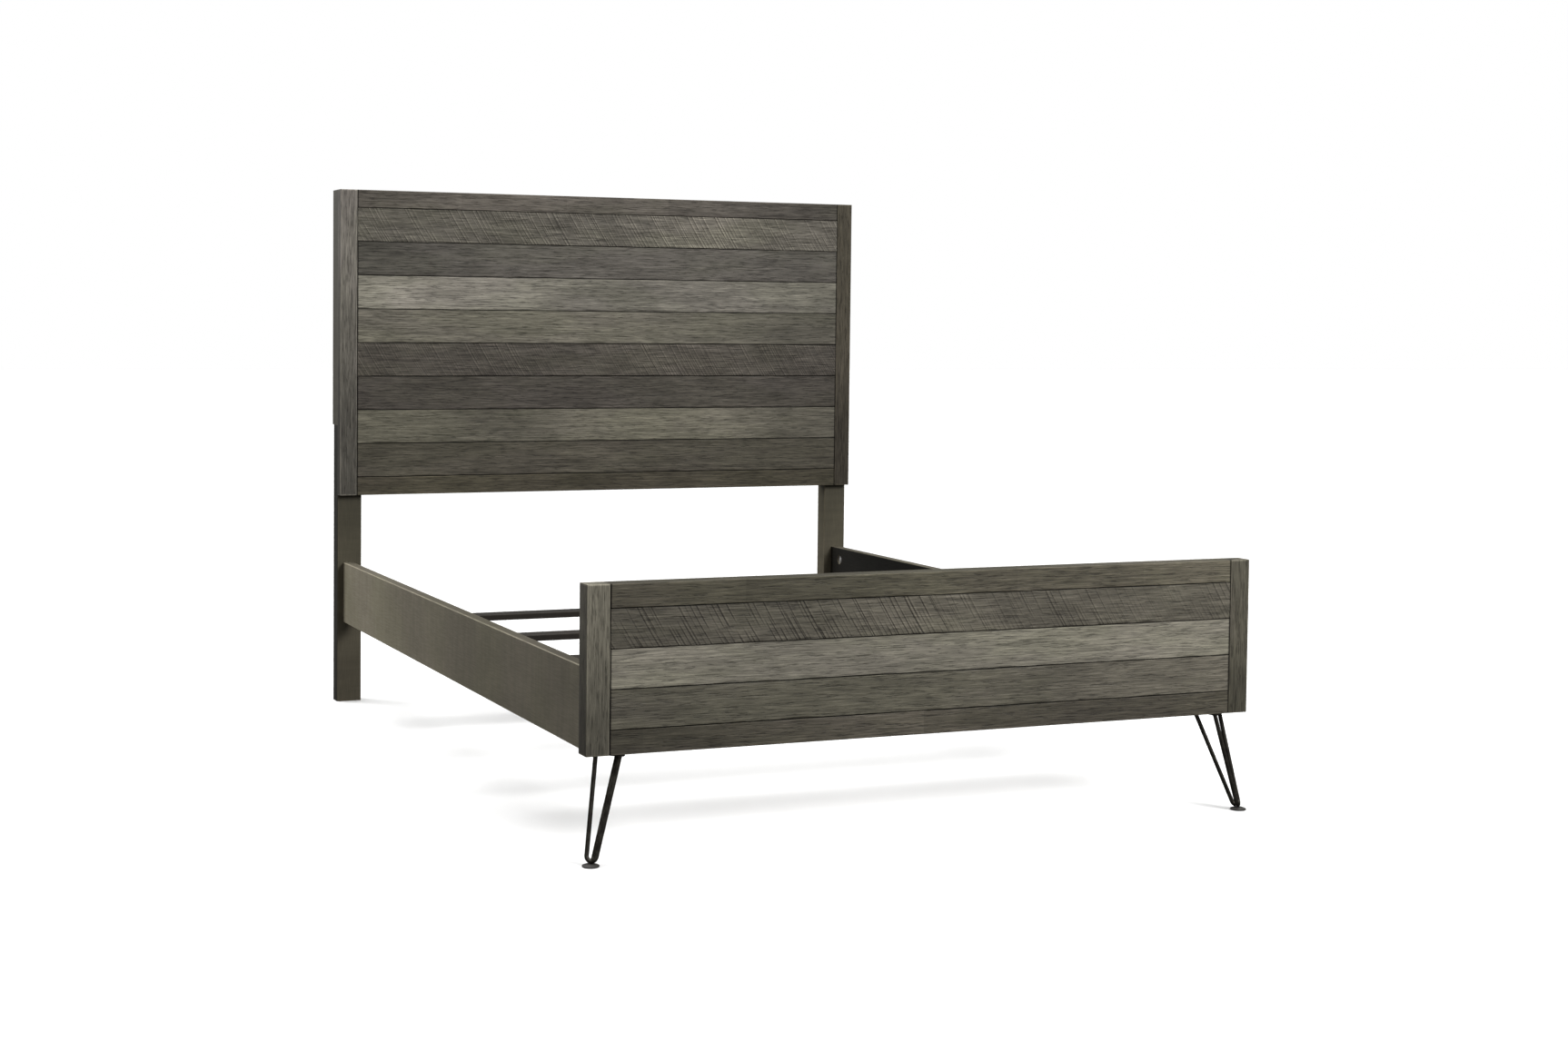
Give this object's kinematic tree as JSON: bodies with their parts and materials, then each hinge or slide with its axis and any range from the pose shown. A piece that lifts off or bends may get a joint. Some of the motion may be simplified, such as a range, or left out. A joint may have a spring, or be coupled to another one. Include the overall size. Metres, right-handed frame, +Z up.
{
  "type": "bed frame",
  "caption": "Queen-size wooden bed frame with a plank headboard, a low plank footboard, bolted side rails, cross slats and hairpin front legs.",
  "frame": {"origin": "on the floor, at the middle of the whole frame's width and length", "axes": "+Z up, +Y towards the headboard along the bed's length, +X to the right seen from the foot end"},
  "size_m": [1.616, 2.176, 1.468],
  "materials": {
    "plank_dark": "weathered, matt, saw-marked",
    "plank_medium": "weathered, matt",
    "plank_light": "weathered, matt",
    "frame_wood": "weathered, matt",
    "rail_wood": "stained, satin",
    "leg_wood": "stained, satin",
    "slat_wood": "stained, matt",
    "cleat_wood": "stained, matt",
    "raw_wood": "unfinished",
    "black_steel": "dark gunmetal, satin",
    "zinc_steel": "zinc plated",
    "foot_plastic": "matt"
  },
  "bodies": {
    "root": {"headboard_left_stile": "frame_wood", "headboard_right_stile": "frame_wood", "headboard_top_rail": "frame_wood", "headboard_bottom_rail": "frame_wood", "headboard_plank_1": "plank_dark", "headboard_plank_2": "plank_dark", "headboard_plank_3": "plank_light", "headboard_plank_4": "plank_light", "headboard_plank_5": "plank_dark", "headboard_plank_6": "plank_dark", "headboard_plank_7": "plank_light", "headboard_plank_8": "plank_medium", "headboard_backing": "raw_wood", "headboard_rear_left_stile": "leg_wood", "headboard_rear_right_stile": "leg_wood", "headboard_rear_top_rail": "leg_wood", "headboard_rear_bottom_rail": "leg_wood", "headboard_rear_brace": "leg_wood", "headboard_dowels": "raw_wood", "headboard_frame_screws": "zinc_steel", "headboard_left_leg": "leg_wood", "headboard_right_leg": "leg_wood", "leg_bolts": "zinc_steel", "leg_bolt_washers": "zinc_steel", "leg_bolt_inserts": "zinc_steel", "footboard_left_stile": "frame_wood", "footboard_right_stile": "frame_wood", "footboard_top_rail": "frame_wood", "footboard_bottom_rail": "frame_wood", "footboard_plank_1": "plank_medium", "footboard_plank_2": "plank_light", "footboard_plank_3": "plank_medium", "footboard_backing": "raw_wood", "footboard_dowels": "raw_wood", "left_leg_block": "leg_wood", "right_leg_block": "leg_wood", "leg_block_screws": "zinc_steel", "left_hairpin_plate": "black_steel", "right_hairpin_plate": "black_steel", "left_hairpin_bent_rod": "black_steel", "right_hairpin_bent_rod": "black_steel", "left_hairpin_third_rod": "black_steel", "right_hairpin_third_rod": "black_steel", "left_hairpin_foot": "foot_plastic", "right_hairpin_foot": "foot_plastic", "hairpin_plate_screws": "zinc_steel", "left_side_rail": "rail_wood", "right_side_rail": "rail_wood", "headboard_rail_bolts": "zinc_steel", "footboard_rail_bolts": "zinc_steel", "half_moon_washers": "zinc_steel", "rail_bolt_nuts": "zinc_steel", "left_slat_cleat": "cleat_wood", "right_slat_cleat": "cleat_wood", "cleat_screws": "zinc_steel", "slat_1": "slat_wood", "slat_2": "slat_wood", "slat_3": "slat_wood", "slat_4": "slat_wood", "slat_screws": "zinc_steel"}
  },
  "joints": []
}
